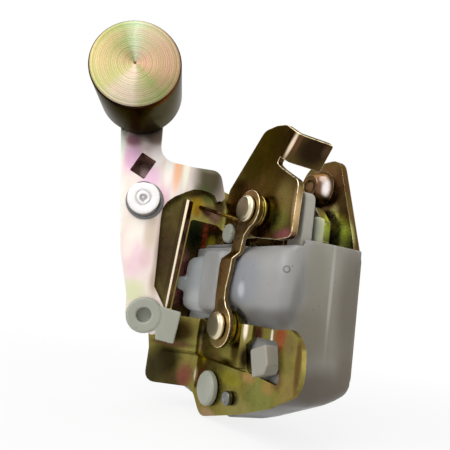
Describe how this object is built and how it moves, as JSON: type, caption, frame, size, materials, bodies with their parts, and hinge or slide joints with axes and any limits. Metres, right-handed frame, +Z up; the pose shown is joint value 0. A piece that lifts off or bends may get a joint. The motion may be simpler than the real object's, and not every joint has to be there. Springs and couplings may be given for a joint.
{
  "type": "sliding door lock",
  "caption": "Latch in a moulded tray behind a screw-on shut plate, with a folded bracket that carries a weighted opening lever.",
  "frame": {"origin": "on the outer face of the shut plate, on the centre line of the striker mouth", "axes": "+X out of the door along the shut face's normal, +Y towards the mouth's open end, +Z up"},
  "size_m": [0.0883, 0.0777, 0.1255],
  "materials": {
    "plate_steel": "bronze chromate over zinc, satin",
    "zinc": "yellow chromate over zinc, satin",
    "pale_zinc": "pale chromate over zinc, satin",
    "bright": "bright zinc, satin",
    "dark": "hardened and oiled, satin",
    "nylon": "natural, slightly translucent",
    "rubber": "matte",
    "spring_steel": "drawn wire, satin"
  },
  "bodies": {
    "frame": {"shut_plate": "plate_steel", "latch_housing": "nylon", "lever_bracket": "zinc", "lever_rivet": "bright", "pivot_washer": "bright", "lever_spacer": "pale_zinc", "bridge_strap": "plate_steel", "upper_pin": "bright", "lower_pin": "bright", "spring_bush": "zinc", "pin_spacer": "bright", "pin_collar": "zinc", "hook_spring": "spring_steel", "fork_spring": "spring_steel", "pawl_spring": "spring_steel", "bump_stop": "nylon", "stop_rivet": "bright", "striker_buffer": "rubber", "hook_rest": "nylon"},
    "lever": {"weight_lever": "pale_zinc", "counterweight": "zinc"},
    "clip": {"rod_clip": "nylon"},
    "hook": {"hook_lever": "plate_steel"},
    "fork": {"latch_fork": "dark"},
    "pawl_arm": {"pawl": "dark"},
    "slider": {"lock_slider": "nylon"}
  },
  "joints": [
    {"name": "weight_lever_swing", "type": "hinge", "parent": "frame", "child": "lever", "pos_m": [-0.05599, 0.04376, 0.0246], "axis": [0.4274, 0.9041, 0], "range_deg": [0, 7]},
    {"name": "hook_lever_swing", "type": "hinge", "parent": "frame", "child": "hook", "pos_m": [-0.0265, 0.0085, 0.0234], "axis": [1, 0, 0], "range_deg": [-8.2, 0], "stiffness_Nm_per_rad": 0.01, "springref_deg": 45.84},
    {"name": "rod_clip_turn", "type": "hinge", "parent": "lever", "child": "clip", "pos_m": [-0.05167, 0.0384, -0.0154], "axis": [0.4274, 0.9041, 0], "range_deg": [-20, 20]},
    {"name": "lock_slide", "type": "slide", "parent": "frame", "child": "slider", "axis": [0, 1, 0], "range_m": [0, 0.005]},
    {"name": "fork_swing", "type": "hinge", "parent": "frame", "child": "fork", "pos_m": [-0.0043, 0.0132, -0.0152], "axis": [1, 0, 0], "range_deg": [0, 60], "stiffness_Nm_per_rad": 0.006, "springref_deg": -57.3},
    {"name": "pawl_swing", "type": "hinge", "parent": "frame", "child": "pawl_arm", "pos_m": [-0.0049, 0.0085, 0.0234], "axis": [1, 0, 0], "range_deg": [0, 13.9], "stiffness_Nm_per_rad": 0.004, "springref_deg": -34.38}
  ],
  "couplings": [
    {"joint": "hook_lever_swing", "follows": "weight_lever_swing", "ratio": -1.15}
  ]
}
